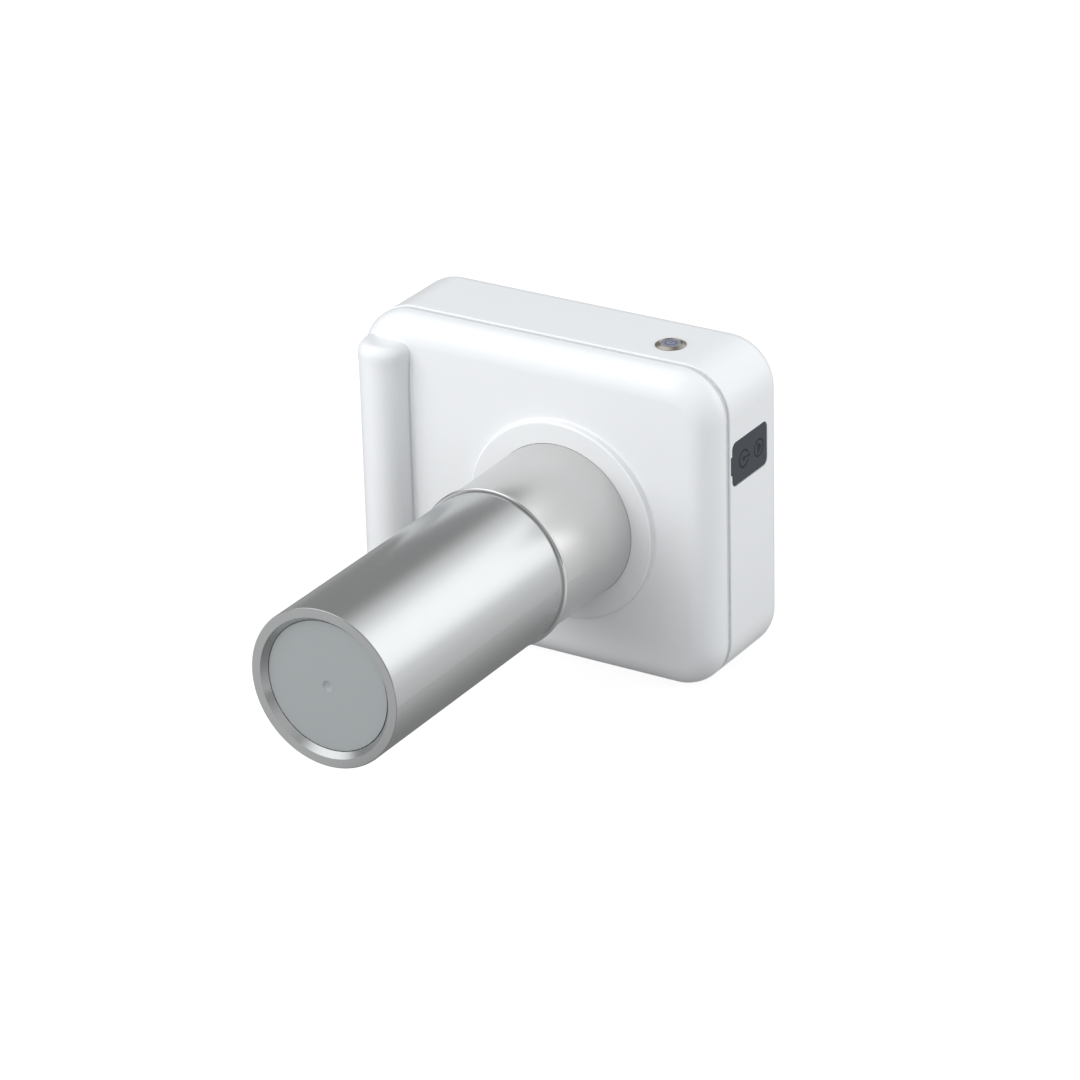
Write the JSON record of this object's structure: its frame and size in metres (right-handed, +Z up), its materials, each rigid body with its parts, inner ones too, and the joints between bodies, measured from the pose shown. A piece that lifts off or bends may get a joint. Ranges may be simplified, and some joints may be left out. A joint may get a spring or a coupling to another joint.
{
  "type": "portable dental x-ray unit",
  "caption": "Hand-held dental x-ray unit: white rounded camera-style case with a finger grip, a long round silver cone on the front, a top power button and a rubber port cover on the side.",
  "frame": {"origin": "mouth of the tripod socket in the middle of the case's underside", "axes": "+Z up; the cone points along -Y and the screen faces +Y; +X is the side with the port cover"},
  "size_m": [0.183, 0.2512, 0.1516],
  "materials": {
    "shell_white": "gloss",
    "grip_white": "satin",
    "gasket_grey": "matte",
    "satin_metal": "satin",
    "bright_metal": "polished",
    "window_grey": "matte",
    "dark_rubber": "matte",
    "key_grey": "matte",
    "exposure_blue": "satin",
    "button_steel": "polished",
    "steel": "satin",
    "tank_steel": "satin",
    "lead": "matte",
    "copper": "satin",
    "ferrite": "matte",
    "tube_glass": "gloss",
    "insulator": "matte",
    "board_green": "satin",
    "part_black": "satin",
    "lens_black": "gloss",
    "cell_wrap": "satin",
    "brass": "satin"
  },
  "bodies": {
    "case": {"front_shell": "shell_white", "grip_panel": "grip_white", "seam_gasket": "gasket_grey", "rear_shell": "shell_white", "cone_base": "satin_metal", "cone_ring": "bright_metal", "cone_tube": "satin_metal", "cone_window": "window_grey", "window_retainer": "steel", "cone_liner": "lead", "collimator_plate": "lead", "beam_filter": "satin_metal", "tubehead_housing": "tank_steel", "lead_lining": "lead", "lid_shield": "lead", "tubehead_lid": "tank_steel", "tubehead_screws": "steel", "tube_envelope": "tube_glass", "anode": "copper", "cathode": "steel", "tube_saddles": "insulator", "transformer_core": "ferrite", "transformer_windings": "copper", "multiplier_board": "board_green", "board_standoffs": "brass", "main_board": "board_green", "board_screws": "steel", "board_parts": "part_black", "buzzer": "part_black", "display_lens": "lens_black", "display_module": "part_black", "key_board": "board_green", "key_domes": "insulator", "key_board_screws": "steel", "exposure_bezel": "button_steel", "power_bezel": "button_steel", "power_switch": "part_black", "power_nut": "steel", "charge_jack": "part_black", "remote_jack": "part_black", "port_board": "board_green", "battery_cells": "cell_wrap", "battery_holder": "part_black", "battery_contacts": "brass", "tripod_insert": "brass", "case_screws": "steel"},
    "power_button": {"power_button": "button_steel"},
    "port_cover": {"port_cover": "dark_rubber"},
    "exposure_button": {"exposure_button": "exposure_blue"},
    "mode_key": {"mode_key": "key_grey"},
    "patient_key": {"patient_key": "key_grey"},
    "minus_key": {"minus_key": "key_grey"},
    "plus_key": {"plus_key": "key_grey"}
  },
  "joints": [
    {"name": "power_press", "type": "slide", "parent": "case", "child": "power_button", "axis": [0, 0, -1], "range_m": [0, 0.0012], "stiffness_N_per_m": 200, "springref_m": -0.005},
    {"name": "exposure_press", "type": "slide", "parent": "case", "child": "exposure_button", "axis": [0, -1, 0], "range_m": [0, 0.0015], "stiffness_N_per_m": 200, "springref_m": -0.005},
    {"name": "mode_press", "type": "slide", "parent": "case", "child": "mode_key", "axis": [0, -1, 0], "range_m": [0, 0.0008], "stiffness_N_per_m": 100, "springref_m": -0.004},
    {"name": "patient_press", "type": "slide", "parent": "case", "child": "patient_key", "axis": [0, -1, 0], "range_m": [0, 0.0008], "stiffness_N_per_m": 100, "springref_m": -0.004},
    {"name": "minus_press", "type": "slide", "parent": "case", "child": "minus_key", "axis": [0, -1, 0], "range_m": [0, 0.0008], "stiffness_N_per_m": 100, "springref_m": -0.004},
    {"name": "plus_press", "type": "slide", "parent": "case", "child": "plus_key", "axis": [0, -1, 0], "range_m": [0, 0.0008], "stiffness_N_per_m": 100, "springref_m": -0.004},
    {"name": "cover_hinge", "type": "hinge", "parent": "case", "child": "port_cover", "pos_m": [0.0915, 0.01825, 0.1056], "axis": [0, 0, 1], "range_deg": [0, 110], "stiffness_Nm_per_rad": 0.002}
  ]
}
